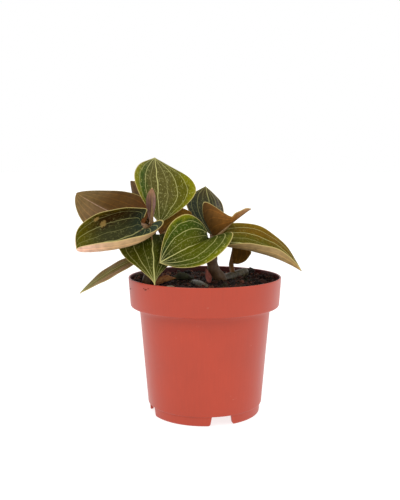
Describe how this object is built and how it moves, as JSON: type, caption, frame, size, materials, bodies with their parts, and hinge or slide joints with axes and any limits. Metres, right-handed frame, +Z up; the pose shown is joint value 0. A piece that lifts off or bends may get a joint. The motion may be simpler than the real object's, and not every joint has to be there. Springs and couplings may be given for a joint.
{
  "type": "potted jewel orchid",
  "caption": "Potted jewel orchid: broad, pale-veined green and brown leaves on two creeping stems in a round terracotta-coloured nursery pot.",
  "frame": {"origin": "on the pot's axis, in the plane that the pot stands on, at the middle of the pot's centre pad", "axes": "+Z up along the pot's axis, -Y towards the side that the picture shows, +X to the right in it"},
  "size_m": [0.1783, 0.12, 0.2007],
  "materials": {
    "pot": "satin terracotta-coloured polypropylene",
    "soil": "damp crumbly potting mix",
    "stem": "smooth brown fleshy stem",
    "runner": "grey-green creeping stem and sheath",
    "leaf_green": "velvety green blade with pale veins",
    "leaf_brown": "satin brown underside",
    "sheath": "dry papery sheath",
    "root": "pale fleshy root",
    "chip": "dark bark"
  },
  "bodies": {
    "root": {"pot": "pot", "soil": "soil", "stem_left": "stem", "stem_right": "stem", "runner_left": "runner", "leaf_upright": "leaf_green", "leaf_bowl": "leaf_green", "leaf_back_left": "leaf_brown", "leaf_rolled_back": "leaf_brown", "leaf_rolled_young": "leaf_brown", "leaf_between": "leaf_brown", "leaf_hanging": "leaf_green", "leaf_low_left": "leaf_green", "leaf_heart": "leaf_green", "leaf_back_right": "leaf_green", "leaf_cup": "leaf_brown", "leaf_right": "leaf_green", "leaf_small": "leaf_brown", "sheath_dry": "sheath", "sheath_brown": "runner", "sheath_pink": "sheath", "root_pale": "root", "chip": "chip"}
  },
  "joints": []
}
